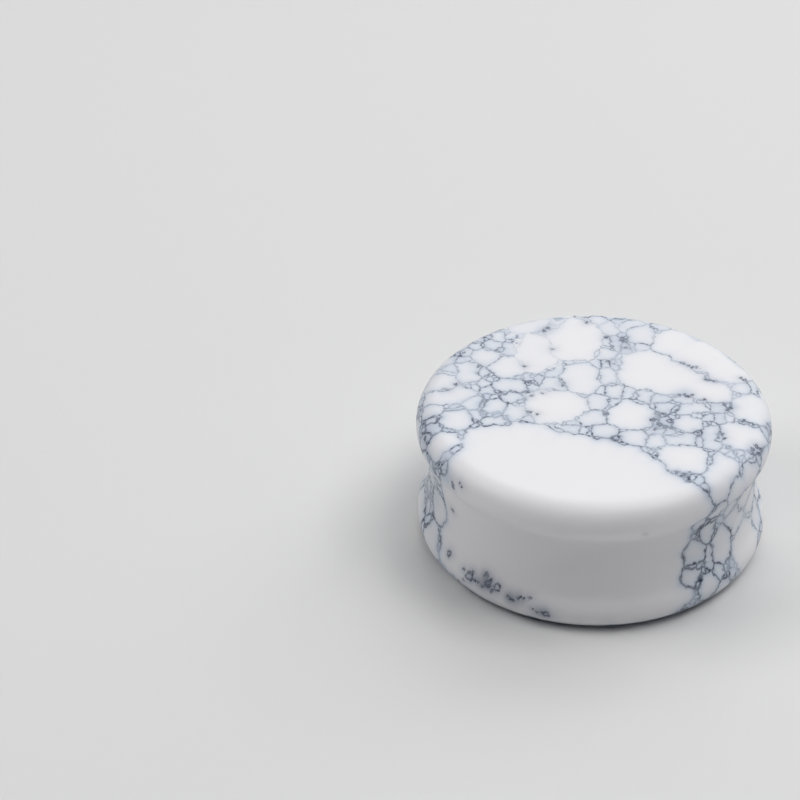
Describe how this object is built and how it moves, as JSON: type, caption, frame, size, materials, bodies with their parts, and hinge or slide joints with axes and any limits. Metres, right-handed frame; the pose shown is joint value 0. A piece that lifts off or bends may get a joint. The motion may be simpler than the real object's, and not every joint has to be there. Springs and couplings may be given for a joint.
{
  "type": "double-flared ear plug gauge",
  "caption": "Solid round double-flared ear plug of veined white stone, with flat polished faces, softly rounded flares and a hollowed waist that the stretched lobe sits in.",
  "frame": {"origin": "centre of the lower flat face, which the plug rests on", "axes": "+Z along the plug's axis, from the lower face to the upper face; +X to the right as the picture shows it and +Y away from the viewer"},
  "size_m": [0.0268, 0.0268, 0.0113],
  "materials": {
    "veined_stone": "polished white stone with a grey-blue web of veins"
  },
  "bodies": {
    "root": {"stone_plug": "veined_stone"}
  },
  "joints": []
}
